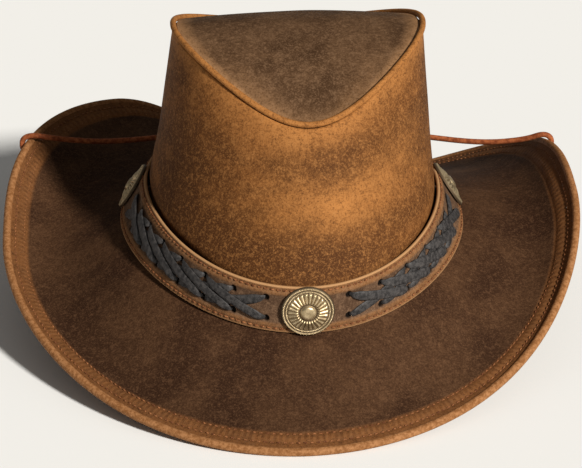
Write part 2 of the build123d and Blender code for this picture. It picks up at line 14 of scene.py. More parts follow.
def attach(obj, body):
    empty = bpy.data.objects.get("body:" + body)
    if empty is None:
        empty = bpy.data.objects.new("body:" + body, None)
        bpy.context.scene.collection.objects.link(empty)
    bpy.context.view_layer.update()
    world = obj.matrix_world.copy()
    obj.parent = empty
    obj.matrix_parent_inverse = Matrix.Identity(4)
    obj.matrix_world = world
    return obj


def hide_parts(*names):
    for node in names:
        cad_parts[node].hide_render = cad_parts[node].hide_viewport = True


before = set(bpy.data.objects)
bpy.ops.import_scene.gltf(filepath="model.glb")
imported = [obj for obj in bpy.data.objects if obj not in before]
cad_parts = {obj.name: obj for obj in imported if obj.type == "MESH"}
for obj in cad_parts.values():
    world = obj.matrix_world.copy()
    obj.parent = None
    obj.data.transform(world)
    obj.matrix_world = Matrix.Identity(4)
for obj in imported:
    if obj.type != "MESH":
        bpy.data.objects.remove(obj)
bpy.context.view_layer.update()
scene = bpy.context.scene

MM = 0.001

# Camera at the photograph's viewing angle, for a 582 x 468 image
IMAGE_WIDTH = 582
FOCAL_PIXELS = 2453.0
SENSOR_WIDTH = 36.0
CAMERA_TARGET = Vector((-0.2, -4.0, 44.1))
CAMERA_DISTANCE = 1339.0
CAMERA_ELEVATION = math.radians(24.0)
CAMERA_YAW = math.radians(4.31)

# Light: a low key lamp ahead of the hat and to the viewer's right, and an even pale surround
KEY_TRAVEL = Vector((-0.9, 1.4, -1.06))
KEY_STRENGTH = 5.1
KEY_ANGLE = math.radians(6.0)
KEY_COLOUR = (1.0, 0.965, 0.91)
SURROUND_COLOUR = (1.0, 0.97, 0.93)
SURROUND_STRENGTH = 0.17
FLOOR_COLOUR = (0.86, 0.865, 0.855)
FLOOR_HALF_SIZE = 6.0
LEATHER_SPECULAR = 0.05

# Crown and brim
HEAD_SHIFT_Y = -4.0
OPENING = (79.4, 104.1)
OPENING_FRONT_HEIGHT = 39.3
OPENING_SIDE_RISE = 20.0
OPENING_LEFT_DIP, OPENING_LEFT_DIP_ANGLE = 6.5, 15.0
OPENING_RIGHT_DIP, OPENING_RIGHT_DIP_ANGLE = 6.8, 137.0
OPENING_DIP_SPREAD = 35.0
RIM = (65.5, 75.4)
RIM_SHIFT = (3.3, -5.8)
RIM_HEIGHT = 167.0
RIM_FRONT_DIP, RIM_FRONT_POWER = 28.8, 2.33
RIM_BACK_DIP, RIM_BACK_POWER = 25.0, 1.5
RIM_FRONT_NARROWING, RIM_BACK_NARROWING = 0.21, 0.05
WALL_FOOT = (77.6, 106.0)
WALL_FOOT_GAP = 0.3
WALL_BULGE = 6.0
WALL_FLARE, WALL_FLARE_HEIGHT = 3.6, 9.0
WALL_HEIGHT = 108.0
WALL_TOP_SHARE = 0.979
WALL_THICKNESS = 1.8
HUG_REACH, HUG_SIDE_LOSS, HUG_SIDE_POWER, HUG_SKEW = 4.3, 3.0, 1.3, 0.5
HUG_RISE, HUG_SPREAD_BELOW, HUG_SPREAD_ABOVE = 0.22, 0.06, 0.18
HUG_GAP_ANGLE, HUG_GAP_SPREAD = 90.0, 40.0
TIP_INSET = 1.95
TIP_DROP = 0.5
TIP_END_ANGLE = 84.0
TIP_THICKNESS = 1.6
TIP_FRONT_HOLLOW = 2.5
TIP_BACK_DOME = 4.5
WELT_RADIUS = 1.6
BRIM_HALF = (155.2, 174.9)
BRIM_SHIFT_Y = -0.15
BRIM_SKEW = 4.5
BRIM_FRONT_SQUARENESS, BRIM_BACK_SQUARENESS = 1.87, 2.9
BRIM_SIDE_HEIGHT, BRIM_SIDE_POWER = 25.3, 2.66
RIGHT_LOBE = (56.3, 125.4, 28.0, 50.0)
LEFT_LOBE = (44.4, 15.0, 38.0)
BACK_SETTLE = (6.2, 76.0, 26.0)
BRIM_SAG_SIDE, BRIM_SAG_FRONT = 14.0, 3.0
UPPER_THICKNESS = 1.6
LAYER_GAP = 0.15
LOWER_THICKNESS = 1.4
SAG_SCALE = 27 / 4
EDGE_RADIUS = 2.2
EDGE_REST = 3.16
EDGE_TUCK = 0.7
OUTER_STITCH_INSET = 6.8
INNER_STITCH_INSET = 12.4
EDGE_MARGIN = 2 * EDGE_RADIUS - EDGE_TUCK
BRIM_PUCKERS = 300
BRIM_POINT_CROWDING = 0.8

# Hatband, lacing and conchos
BAND = (93.2, 109.7)
BAND_FRONT_HEIGHT = 37.7
BAND_SIDE_RISE = 18.3
BAND_WIDTH = 26.0
BAND_THICKNESS = 2.0
BAND_LEAN_FRONT, BAND_LEAN_SIDE = -1.6, 33.0
BAND_JOINT_ANGLE = 90.0
BAND_JOINT_GAP_ANGLE = 0.13
BAND_STITCH_INSET = 2.2
BAND_PADDING, BAND_PADDING_INSET = 0.35, 4.1
BAND_GROOVE = 0.25
LACE_LOW_ROW, LACE_HIGH_ROW = 7.2, 18.8
LACE_PITCH_ANGLE = 11.5
LACE_REACH = 2
LACE_WIDTH = 5.2
LACE_THICKNESS = 1.1
LACE_MARGIN = 13.0
LACE_HOLE_RADIUS = 1.5
LACE_HOLE_DEPTH = 1.3
LACE_HOLE_EDGE = 0.4
LACE_DIVE = 1.1
CONCHO_ANGLES = {"front": 270.0, "left": 5.0, "right": 169.0}
CONCHO_RADIUS = 13.7
CONCHO_BACK, CONCHO_FACE = 0.4, 1.5
CONCHO_DISH_HEIGHT = 1.3
CONCHO_DOME_RADIUS, CONCHO_DOME_HEIGHT = 4.1, 2.7
CONCHO_FLUTES = 26
CONCHO_FLUTE_START, CONCHO_FLUTE_END, CONCHO_FLUTE_HEIGHT = 4.5, 10.4, 0.9
CONCHO_INNER_ROPE, CONCHO_INNER_ROPE_HEIGHT, CONCHO_INNER_ROPE_TWISTS = 11.1, 0.6, 90
CONCHO_OUTER_ROPE, CONCHO_OUTER_ROPE_HEIGHT, CONCHO_OUTER_ROPE_TWISTS = 12.6, 0.7, 104
CONCHO_RIM_START, CONCHO_RIM_DROP = 13.0, 0.9
CONCHO_POST_RADIUS, CONCHO_POST_LENGTH = 2.0, BAND_THICKNESS + 0.2

# Sweatband
SWEATBAND_GAP = 0.5
SWEATBAND_FOOT = 1.5
SWEATBAND_HEIGHT = 36.0
SWEATBAND_THICKNESS = 1.2
SWEATBAND_STITCH_HEIGHT = 3.4

# Stitches: (pitch, length, width, height) of one stitch of each sewing
BRIM_STITCH = (3.3, 2.3, 0.9, 0.7)
BRIM_STITCH_SINK = 0.2
BAND_STITCH = (3.3, 2.6, 1.0, 0.8)
SWEATBAND_STITCH = (3.4, 2.6, 0.9, 0.6)
STITCH_RINGS, STITCH_SIDES = 7, 6

# Chin cord, along the route of the CAD tube
CORD_DIAMETER = 3.2
CORD_ROUTE = [
    (-84.6, 3.9, 48.9),
    (-95.0, 9.3, 44.4),
    (-107.8, 20.5, 38.6),
    (-121.9, 39.4, 35.8),
    (-135.4, 65.3, 41.1),
    (-142.2, 85.5, 50.2),
    (-149.4, 97.5, 61.4),
    (-144.1, 94.5, 68.0),
    (-128.0, 95.6, 64.2),
    (-103.0, 97.4, 60.6),
    (-72.0, 99.2, 61.4),
    (-42.0, 100.6, 64.8),
    (-14.0, 101.6, 67.6),
    (14.0, 101.2, 67.8),
    (46.0, 95.4, 66.2),
    (82.0, 87.0, 62.9),
    (116.0, 79.0, 60.8),
    (140.0, 73.2, 64.4),
    (152.0, 70.5, 69.7),
    (157.3, 72.7, 62.9),
    (148.6, 65.5, 52.8),
    (139.4, 50.9, 47.1),
    (124.4, 32.0, 43.1),
    (109.8, 16.2, 43.7),
    (97.0, 5.3, 45.9),
    (86.7, 0.2, 47.2),
]


def make_camera():
    """Camera looking down at the front of the hat, a little from its right."""
    back = Vector(
        (
            -math.sin(CAMERA_YAW) * math.cos(CAMERA_ELEVATION),
            -math.cos(CAMERA_YAW) * math.cos(CAMERA_ELEVATION),
            math.sin(CAMERA_ELEVATION),
        )
    )
    data = bpy.data.cameras.new("camera")
    data.sensor_width = SENSOR_WIDTH
    data.lens = FOCAL_PIXELS / IMAGE_WIDTH * SENSOR_WIDTH
    data.clip_end = 50
    camera = bpy.data.objects.new("camera", data)
    camera.location = (CAMERA_TARGET + back * CAMERA_DISTANCE) * MM
    camera.rotation_euler = (-back).to_track_quat("-Z", "Y").to_euler()
    scene.collection.objects.link(camera)
    scene.camera = camera


# ---- shapes -------------------------------------------------------------------------------------


def points(x, y, z):
    """Array of points from coordinates that broadcast together."""
    return np.stack(np.broadcast_arrays(x, y, z), axis=-1)


def cosine(angle):
    return np.cos(np.radians(angle))


def sine(angle):
    return np.sin(np.radians(angle))


def unit(vectors):
    return vectors / np.linalg.norm(vectors, axis=-1, keepdims=True)


def hump(angle, centre, spread):
    """Smooth bump of height 1 centred on an angle."""
    away = (angle - centre + 180) % 360 - 180
    return np.exp(-((away / spread) ** 2))


def bell(value, centre, spread):
    """Smooth bump of height 1 centred on a value."""
    return np.exp(-(((value - centre) / spread) ** 2))


def side_share(angle):
    """1 at the sides of the hat, 0 at its front and back."""
    return cosine(angle) ** 2


def oval(angle, half, z=0.0):
    """Point of an oval round the head, from its half width and half length."""
    return points(half[0] * cosine(angle), half[1] * sine(angle) + HEAD_SHIFT_Y, z)


def oval_normal(angle, half):
    """Level direction straight out of such an oval."""
    return unit(points(cosine(angle) / half[0], sine(angle) / half[1], 0.0 * angle))


def opening_point(angle):
    """Point where the brim meets the crown, at the head opening."""
    height = OPENING_FRONT_HEIGHT + OPENING_SIDE_RISE * side_share(angle)
    height = height - OPENING_LEFT_DIP * hump(angle, OPENING_LEFT_DIP_ANGLE, OPENING_DIP_SPREAD)
    height = height - OPENING_RIGHT_DIP * hump(angle, OPENING_RIGHT_DIP_ANGLE, OPENING_DIP_SPREAD)
    return oval(angle, OPENING, height)


def rim_point(angle):
    """Point on the rim of the crown, where the welt runs."""
    c, s = cosine(angle), sine(angle)
    narrowing = np.where(s < 0, RIM_FRONT_NARROWING, RIM_BACK_NARROWING)
    front = RIM_FRONT_DIP * np.abs(s) ** RIM_FRONT_POWER
    back = RIM_BACK_DIP * np.abs(s) ** RIM_BACK_POWER
    x = RIM_SHIFT[0] + RIM[0] * c * (1 - narrowing * s * s)
    return points(x, RIM_SHIFT[1] + RIM[1] * s, RIM_HEIGHT - np.where(s < 0, front, back))


def wall_hug(angle, rise):
    """How far the wall bellies out towards the top edge of the hatband, except behind the head."""
    reach = HUG_REACH - HUG_SIDE_LOSS * side_share(angle) ** HUG_SIDE_POWER - HUG_SKEW * cosine(angle)
    reach = reach * (1 - hump(angle, HUG_GAP_ANGLE, HUG_GAP_SPREAD))
    spread = np.where(rise < HUG_RISE, HUG_SPREAD_BELOW, HUG_SPREAD_ABOVE)
    return reach * bell(rise, HUG_RISE, spread)


def wall_point(angle, rise, depth=0.0):
    """Point on the crown's wall: rise 0 at its foot and 1 at the rim, depth inward from its face."""
    height = opening_point(angle)[..., 2] + WALL_FOOT_GAP
    foot = oval(angle, WALL_FOOT, height)
    bulge = WALL_BULGE * (1 - side_share(angle)) * 4 * rise * (1 - rise)
    flare = WALL_FLARE * side_share(angle) * np.exp(-((rise * WALL_HEIGHT / WALL_FLARE_HEIGHT) ** 2))
    out = (bulge + flare + wall_hug(angle, rise) - depth)[..., None] * oval_normal(angle, WALL_FOOT)
    rise = np.asarray(rise)[..., None]
    return foot + (rim_point(angle) - foot) * rise + out


def edge_height(angle):
    """Height of the brim's edge over its lowest points, with the curled-up lobe on each side."""
    behind = angle % 360 < RIGHT_LOBE[1]
    right_spread = np.where(behind, RIGHT_LOBE[2], RIGHT_LOBE[3])
    height = BRIM_SIDE_HEIGHT * np.abs(cosine(angle)) ** BRIM_SIDE_POWER
    height = height + RIGHT_LOBE[0] * hump(angle, RIGHT_LOBE[1], right_spread)
    height = height + LEFT_LOBE[0] * hump(angle, LEFT_LOBE[1], LEFT_LOBE[2])
    return height - BACK_SETTLE[0] * hump(angle, BACK_SETTLE[1], BACK_SETTLE[2])


def edge_point(angle):
    """Point on the outer edge of the brim."""
    c, s = cosine(angle), sine(angle)
    power = np.where(s < 0, BRIM_FRONT_SQUARENESS, BRIM_BACK_SQUARENESS)
    reach = (np.abs(c) ** power + np.abs(s) ** power) ** (-1 / power)
    along = reach * s
    x = BRIM_HALF[0] * reach * c + BRIM_SKEW * along * np.abs(along)
    return points(x, BRIM_HALF[1] * along + BRIM_SHIFT_Y, edge_height(angle) + EDGE_REST)


def brim_section(angle):
    """Start, outward direction, level length, rise and sag of the brim's cross-section."""
    start = opening_point(angle)
    across = edge_point(angle) - start
    length = np.hypot(across[..., 0], across[..., 1])
    out = points(across[..., 0] / length, across[..., 1] / length, 0.0 * length)
    sag = BRIM_SAG_FRONT + (BRIM_SAG_SIDE - BRIM_SAG_FRONT) * side_share(angle)
    return start, out, length, across[..., 2], sag * SAG_SCALE


def brim_inset(angle, along):
    """Level distance from the opening of the line this far in from the edge, along the brim."""
    _, _, length, rise, sag = brim_section(angle)
    level = along
    for _ in range(3):
        t = 1 - level / 2 / length
        level = along / np.hypot(1, (rise - sag * (2 * t - 3 * t * t)) / length)
    return length - level


def brim_point(angle, distance, depth=0.0):
    """Point at a level distance from the opening and a depth under the brim's upper face."""
    start, out, length, rise, sag = brim_section(angle)
    t = distance / length
    height = rise * t - sag * t * t * (1 - t)
    slope = (rise - sag * (2 * t - 3 * t * t)) / length
    up = np.array((0.0, 0.0, 1.0))
    down = (out * slope[..., None] - up) * (depth / np.hypot(1, slope))[..., None]
    return start + out * np.asarray(distance)[..., None] + up * height[..., None] + down


def edge_centre(angle):
    """Centre line of the rolled edge of the brim."""
    middle = (UPPER_THICKNESS + LAYER_GAP + LOWER_THICKNESS) / 2
    return brim_point(angle, brim_inset(angle, EDGE_RADIUS), middle)


def band_frame(angle):
    """Lower edge of the hatband's face, the direction up it and the direction away from it."""
    outward = oval_normal(angle, BAND)
    lean = np.radians(BAND_LEAN_FRONT + (BAND_LEAN_SIDE - BAND_LEAN_FRONT) * side_share(angle))
    lean = lean[..., None]
    foot = oval(angle, BAND, BAND_FRONT_HEIGHT + BAND_SIDE_RISE * side_share(angle))
    up = np.array((0.0, 0.0, 1.0))
    return foot, up * np.cos(lean) - outward * np.sin(lean), outward * np.cos(lean) + up * np.sin(lean)


def band_point(angle, up, out=0.0):
    """Point on the hatband: up from its lower edge and out from its face."""
    foot, along_face, away = band_frame(angle)
    return foot + along_face * np.asarray(up)[..., None] + away * np.asarray(out)[..., None]


def sweatband_point(angle, up, depth):
    """Point on the sweatband, which follows the wall's inner face."""
    height = rim_point(angle)[..., 2] - opening_point(angle)[..., 2]
    return wall_point(angle, up / height, WALL_THICKNESS + SWEATBAND_GAP + depth)


# ---- meshes -------------------------------------------------------------------------------------


def ring_angles(count, first=90.0):
    """Evenly spaced angles once round the hat, as a column."""
    return (first + np.arange(count) * 360 / count)[:, None]


def slab_outline(length, thickness, steps, corner=None):
    """Closed outline of a sheet's section as (along, depth) arrays, its corners rounded."""
    corner = thickness * 0.45 if corner is None else corner
    turn = np.radians(np.linspace(0, 90, 5))
    rounding, lift = corner * (1 - np.sin(turn)), corner * (1 - np.cos(turn))
    run = np.linspace(corner, length - corner, steps + 1)[1:-1]
    far_top, far_bottom = length - rounding, length - rounding[::-1]
    along = [run, far_top, far_bottom, run[::-1], rounding, rounding[::-1]]
    depth = [0 * run, lift, thickness - lift[::-1], 0 * run + thickness, thickness - lift, lift[::-1]]
    return np.concatenate(along)[None, :], np.concatenate(depth)[None, :]


def grid_object(name, grid, closed_rows, closed_columns, shares=None):
    """Smooth mesh object from an array of points in millimetres, with named numbers per point."""
    rows, columns = grid.shape[:2]
    index = np.arange(rows * columns).reshape(rows, columns)
    if closed_rows:
        index = np.concatenate([index, index[:1]])
    if closed_columns:
        index = np.concatenate([index, index[:, :1]], axis=1)
    quads = np.stack([index[:-1, :-1], index[1:, :-1], index[1:, 1:], index[:-1, 1:]], axis=-1)
    faces = [tuple(quad) for quad in quads.reshape(-1, 4).tolist()]
    if closed_columns and not closed_rows:
        faces.append(tuple(range(columns)))
        faces.append(tuple(range((rows - 1) * columns, rows * columns)))
    mesh = bpy.data.meshes.new(name)
    mesh.from_pydata((grid.reshape(-1, 3) * MM).tolist(), [], faces)
    for key, values in (shares or {}).items():
        layer = mesh.attributes.new(key, "FLOAT", "POINT")
        flat = np.broadcast_to(values, (rows, columns)).astype(np.float32).reshape(-1)
        layer.data.foreach_set("value", flat)
    return finish_mesh(name, mesh)


def finish_mesh(name, mesh):
    """Object of a mesh, shaded smooth with its faces looking outward."""
    mesh.validate()
    mesh.polygons.foreach_set("use_smooth", [True] * len(mesh.polygons))
    obj = bpy.data.objects.new(name, mesh)
    scene.collection.objects.link(obj)
    face_outward(obj)
    return obj


def face_outward(obj):
    """Turns every face of a closed mesh outward."""
    work = bmesh.new()
    work.from_mesh(obj.data)
    bmesh.ops.recalc_face_normals(work, faces=work.faces)
    work.to_mesh(obj.data)
    work.free()


def tube_grid(centres, normals, radius, steps):
    """Grid of points of a round tube along a line of centres, with one normal for each."""
    tangents = unit(np.roll(centres, -1, axis=0) - np.roll(centres, 1, axis=0))
    side = unit(np.cross(tangents, normals))
    normals = np.cross(side, tangents)
    turn = np.arange(steps) * 2 * np.pi / steps
    ring = np.cos(turn)[None, :, None] * side[:, None, :] + np.sin(turn)[None, :, None] * normals[:, None, :]
    return centres[:, None, :] + radius * ring


def leather_waves(grid, size, height, seed):
    """Uneven swell of a leather surface, for each point: a smooth noise of that size and height."""
    flat = grid.reshape(-1, 3) / size + seed * 17.3
    values = [noise.noise(Vector(point)) for point in flat.tolist()]
    return height * np.array(values).reshape(grid.shape[:2])


def place(obj, body, material, slot, *nodes):
    """Gives a piece its body and its finish, and hides the CAD nodes that it stands for."""
    obj.data.materials.clear()
    obj.data.materials.append(material)
    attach(obj, body)
    if nodes:
        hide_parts(*nodes)
    return obj


# ---- materials ----------------------------------------------------------------------------------


class Finish:
    """A material under construction: a Principled shader and short calls that add nodes to it."""

    def __init__(self, name, roughness, metallic=0.0, specular=0.5):
        self.material = bpy.data.materials.new(name)
        self.material.use_nodes = True
        self.tree = self.material.node_tree
        self.shader = self.tree.nodes["Principled BSDF"]
        self.shader.inputs["Roughness"].default_value = roughness
        self.shader.inputs["Metallic"].default_value = metallic
        self.shader.inputs["Specular IOR Level"].default_value = specular
        self.place = self.tree.nodes.new("ShaderNodeTexCoord").outputs["Object"]

    def link(self, output, socket):
        self.tree.links.new(output, socket)

    def scaled(self, x, y, z):
        """Coordinates stretched by these factors, for streaks."""
        node = self.tree.nodes.new("ShaderNodeMapping")
        node.inputs["Scale"].default_value = (x, y, z)
        self.link(self.place, node.inputs["Vector"])
        return node.outputs["Vector"]

    def noise(self, size, detail=4.0, roughness=0.55, distortion=0.0, where=None):
        """Noise from 0 to 1 whose patches are about this many millimetres across."""
        node = self.tree.nodes.new("ShaderNodeTexNoise")
        node.inputs["Scale"].default_value = 1000 / size
        node.inputs["Detail"].default_value = detail
        node.inputs["Roughness"].default_value = roughness
        node.inputs["Distortion"].default_value = distortion
        self.link(where or self.place, node.inputs["Vector"])
        return node.outputs["Fac"]

    def cells(self, size):
        """Distance inside leather-like cells about this many millimetres across."""
        node = self.tree.nodes.new("ShaderNodeTexVoronoi")
        node.feature = "DISTANCE_TO_EDGE"
        node.inputs["Scale"].default_value = 1000 / size
        self.link(self.place, node.inputs["Vector"])
        return node.outputs["Distance"]

    def share(self, name):
        """A number stored on the mesh's points."""
        node = self.tree.nodes.new("ShaderNodeAttribute")
        node.attribute_name = name
        return node.outputs["Fac"]

    def ramp(self, value, low, high, out_low=0.0, out_high=1.0):
        """Value carried from the range low to high onto another range."""
        node = self.tree.nodes.new("ShaderNodeMapRange")
        node.inputs["From Min"].default_value = low
        node.inputs["From Max"].default_value = high
        node.inputs["To Min"].default_value = out_low
        node.inputs["To Max"].default_value = out_high
        node.interpolation_type = "SMOOTHSTEP"
        self.link(value, node.inputs["Value"])
        return node.outputs["Result"]

    def math(self, operation, a, b):
        node = self.tree.nodes.new("ShaderNodeMath")
        node.operation = operation
        for socket, value in zip(node.inputs, (a, b)):
            if isinstance(value, (int, float)):
                socket.default_value = value
            else:
                self.link(value, socket)
        return node.outputs[0]

    def mix(self, share, a, b):
        """Colour between a and b. Colours are (red, green, blue) or another node's output."""
        node = self.tree.nodes.new("ShaderNodeMix")
        node.data_type = "RGBA"
        if isinstance(share, (int, float)):
            node.inputs[0].default_value = share
        else:
            self.link(share, node.inputs[0])
        for socket, value in ((node.inputs[6], a), (node.inputs[7], b)):
            if isinstance(value, tuple):
                socket.default_value = (*value, 1.0)
            else:
                self.link(value, socket)
        return node.outputs[2]

    def bump(self, *layers):
        """Relief from (height output, millimetres high) layers."""
        normal = None
        for height, size in layers:
            node = self.tree.nodes.new("ShaderNodeBump")
            node.inputs["Distance"].default_value = size * MM
            self.link(height, node.inputs["Height"])
            if normal is not None:
                self.link(normal, node.inputs["Normal"])
            normal = node.outputs["Normal"]
        self.link(normal, self.shader.inputs["Normal"])

    def finish(self, colour, roughness=None):
        """Sets the colour and, where it changes over the surface, the roughness."""
        if isinstance(colour, tuple):
            self.shader.inputs["Base Color"].default_value = (*colour, 1.0)
        else:
            self.link(colour, self.shader.inputs["Base Color"])
        if roughness is not None:
            self.link(roughness, self.shader.inputs["Roughness"])
        return self.material


def leather(name, dark, middle, light, worn, patch=60.0, contrast=1.0, streaks=(1, 1, 1)):
    """Distressed, waxed leather: cloudy patches, fine mottling, scuffs and worn lighter edges."""
    skin = Finish(name, 0.7, specular=LEATHER_SPECULAR)
    clouds = skin.noise(patch, detail=4, roughness=0.55, distortion=0.4, where=skin.scaled(*streaks))
    blotches = skin.noise(patch / 4, detail=5, roughness=0.7, distortion=0.3)
    mottle = skin.noise(2.6, detail=6, roughness=0.8)
    specks = skin.noise(0.9, detail=3, roughness=0.75)
    base = skin.mix(skin.ramp(clouds, 0.38, 0.62), dark, middle)
    base = skin.mix(skin.ramp(blotches, 0.5, 0.75, 0, 0.4 * contrast), base, light)
    base = skin.mix(skin.ramp(blotches, 0.5, 0.28, 0, 0.4 * contrast), base, dark)
    # On the crown the wear share also holds a painted crease highlight across the front.
    wear_and_highlight_here = skin.math("MULTIPLY", skin.share("wear"), skin.ramp(blotches, 0.3, 0.6, 0.6, 1.0))
    base = skin.mix(wear_and_highlight_here, base, worn)
    # Painted shade: this share darkens the crown's colour on its shaded left side, along with other darker
    # patches.
    shaded_and_darkened = skin.math("MULTIPLY", skin.share("shade_and_darkening"), skin.ramp(blotches, 0.75, 0.4, 0.35, 1.0))
    base = skin.mix(shaded_and_darkened, base, dark)
    base = skin.mix(skin.ramp(mottle, 0.5, 0.64, 0, 0.5 * contrast), base, light)
    base = skin.mix(skin.ramp(mottle, 0.5, 0.36, 0, 0.6 * contrast), base, dark)
    base = skin.mix(skin.ramp(specks, 0.5, 0.66, 0, 0.45), base, light)
    base = skin.mix(skin.ramp(specks, 0.5, 0.34, 0, 0.55), base, dark)
    relief = [(skin.noise(9.0, detail=3), 0.3), (mottle, 0.14), (skin.cells(1.1), 0.05), (specks, 0.08)]
    return skin, base, relief


def plain_hide(*args, **kwargs):
    """Finished leather material with nothing sewn or cut into it."""
    skin, base, relief = leather(*args, **kwargs)
    skin.bump(*relief)
    return skin.finish(base)


def brim_hide(*args, **kwargs):
    """Brim leather, with radial puckers between its two rows of stitches: a painted highlight on the crest of
    each pucker and painted shade in the crease between.
    """
    skin, base, relief = leather(*args, **kwargs)
    pucker = skin.share("pucker")
    pulled = skin.ramp(skin.share("pulled"), 0.2, 0.8)
    # Painted highlight on the pucker crests.
    light = skin.math("MULTIPLY", pucker, pulled)
    base = skin.mix(skin.math("MULTIPLY", light, 0.14), base, (0.3, 0.14, 0.055))
    # Painted shade in the creases between puckers.
    dark = skin.math("MULTIPLY", pucker, skin.math("SUBTRACT", 1.0, pulled))
    base = skin.mix(skin.math("MULTIPLY", dark, 0.2), base, (0.07, 0.026, 0.01))
    skin.bump((light, 0.12), *relief)
    return skin.finish(base)


def strap_hide(*args, **kwargs):
    """Hatband leather, with a pale cut edge and painted shade in its punched holes."""
    skin, base, relief = leather(*args, **kwargs)
    base = skin.mix(skin.share("cut"), base, (0.4, 0.22, 0.1))
    # Painted shade: the bottom of each punched hole is coloured near black.
    base = skin.mix(skin.share("hole"), base, (0.006, 0.004, 0.003))
    skin.bump(*relief)
    return skin.finish(base)


def plain_leather(name, dark, light, size=3.0, roughness=0.6):
    """Leather of small parts: two shades and a fine grain."""
    skin = Finish(name, roughness, specular=LEATHER_SPECULAR)
    mottle = skin.noise(size, detail=5, roughness=0.65)
    fine = skin.noise(1.0, detail=3, roughness=0.7)
    base = skin.mix(skin.ramp(mottle, 0.35, 0.65), dark, light)
    base = skin.mix(skin.ramp(fine, 0.5, 0.25, 0, 0.6), base, dark)
    skin.bump((mottle, 0.15), (fine, 0.08), (skin.cells(0.9), 0.04))
    return skin.finish(base)


def lace_finish():
    """Flat lace: dark waxed leather, with lighter rubbed streaks."""
    skin = Finish("dark_lace", 0.55, specular=0.3)
    streaks = skin.noise(2.2, detail=5, roughness=0.7)
    base = skin.mix(skin.ramp(streaks, 0.35, 0.65), (0.012, 0.011, 0.011), (0.055, 0.05, 0.048))
    base = skin.mix(skin.ramp(streaks, 0.6, 0.8, 0, 0.6), base, (0.12, 0.105, 0.09))
    skin.bump((streaks, 0.2), (skin.noise(0.8, detail=3), 0.08))
    return skin.finish(base)


def thread_finish(name, dark, light):
    """Waxed sewing thread: twisted, dull, lighter where it is rubbed."""
    skin = Finish(name, 0.7, specular=0.15)
    return skin.finish(skin.mix(skin.ramp(skin.noise(1.2, detail=2), 0.35, 0.65), dark, light))


def brass_finish():
    """Antique brass: dark in the hollows, bright where it is rubbed."""
    skin = Finish("antique_brass", 0.42, metallic=0.85)
    tarnish = skin.ramp(skin.noise(2.5, detail=4), 0.35, 0.7)
    metal = skin.mix(tarnish, (0.42, 0.32, 0.18), (0.62, 0.49, 0.3))
    metal = skin.mix(skin.share("hollow"), metal, (0.09, 0.06, 0.035))
    return skin.finish(metal, skin.ramp(skin.share("hollow"), 0, 1, 0.38, 0.7))


crown_leather = plain_hide(
    "crown_leather", (0.06, 0.022, 0.007), (0.18, 0.068, 0.018), (0.34, 0.15, 0.046), (0.4, 0.165, 0.045),
    patch=55.0, streaks=(0.5, 0.5, 1.9),
)
tip_leather = plain_hide(
    "tip_leather", (0.045, 0.022, 0.01), (0.095, 0.05, 0.024), (0.2, 0.115, 0.062), (0.36, 0.19, 0.085),
    patch=30.0,
)
brim_leather = brim_hide(
    "brim_leather", (0.028, 0.012, 0.006), (0.06, 0.028, 0.013), (0.13, 0.065, 0.032), (0.2, 0.078, 0.024),
    patch=50.0, contrast=0.85,
)
underside_leather = plain_hide(
    "underside_leather", (0.05, 0.026, 0.013), (0.09, 0.05, 0.027), (0.15, 0.088, 0.05), (0.25, 0.12, 0.05),
    patch=70.0, contrast=0.7,
)
worn_edge_leather = plain_leather(
    "worn_edge_leather", (0.19, 0.078, 0.026), (0.33, 0.155, 0.064), size=2.0,
)
strap_leather = strap_hide(
    "hatband_leather", (0.06, 0.032, 0.018), (0.11, 0.062, 0.036), (0.22, 0.13, 0.075), (0.24, 0.105, 0.036),
    patch=25.0, contrast=0.9,
)
sweatband_leather = plain_leather("sweatband_leather", (0.1, 0.045, 0.02), (0.17, 0.085, 0.04), size=8.0)
dark_lace = lace_finish()
cord_leather = plain_leather(
    "cord_leather", (0.15, 0.036, 0.013), (0.34, 0.105, 0.038), size=2.5, roughness=0.5,
)
thread = thread_finish("thread", (0.09, 0.028, 0.01), (0.27, 0.11, 0.042))
antique_brass = brass_finish()
wire_steel = Finish("wire_steel", 0.35, metallic=1.0).finish((0.45, 0.44, 0.42))


# ---- pieces -------------------------------------------------------------------------------------


def make_cord():
    """The chin cord, on the CAD tube's own route."""
    curve = bpy.data.curves.new("chin_cord_smooth", "CURVE")
    curve.dimensions = "3D"
    curve.bevel_depth = CORD_DIAMETER / 2 * MM
    curve.bevel_resolution = 5
    curve.resolution_u = 14
    curve.use_fill_caps = True
    spline = curve.splines.new("NURBS")
    spline.points.add(len(CORD_ROUTE) - 1)
    for knot, place_mm in zip(spline.points, CORD_ROUTE):
        knot.co = (*[value * MM for value in place_mm], 1.0)
    spline.order_u = 3
    spline.use_endpoint_u = True
    obj = bpy.data.objects.new("chin_cord_smooth", curve)
    scene.collection.objects.link(obj)
    place(obj, "hat", cord_leather, "cord_leather", "chin_cord")


def crown_wear_and_highlight(angle, rise):
    """How much lighter the crown is painted: wear along the rim and down the front corners, and a painted
    highlight of a crease in a band across the middle.
    """
    rim_wear = 0.85 * bell(rise, 1.0, 0.09)
    # Painted highlight: a crease across the front, lit by the key lamp, painted as a lighter band.
    crease_highlight = 0.8 * bell(rise, 0.6, 0.13) * hump(angle, 284, 34)
    right_corner = 0.2 * hump(angle, 318, 16) * bell(rise, 0.6, 0.3)
    upper_front = 0.3 * hump(angle, 255, 25) * bell(rise, 0.85, 0.1)
    foot = 0.3 * bell(rise, 0.0, 0.05)
    return np.clip(rim_wear + crease_highlight + right_corner + upper_front + foot, 0, 1)


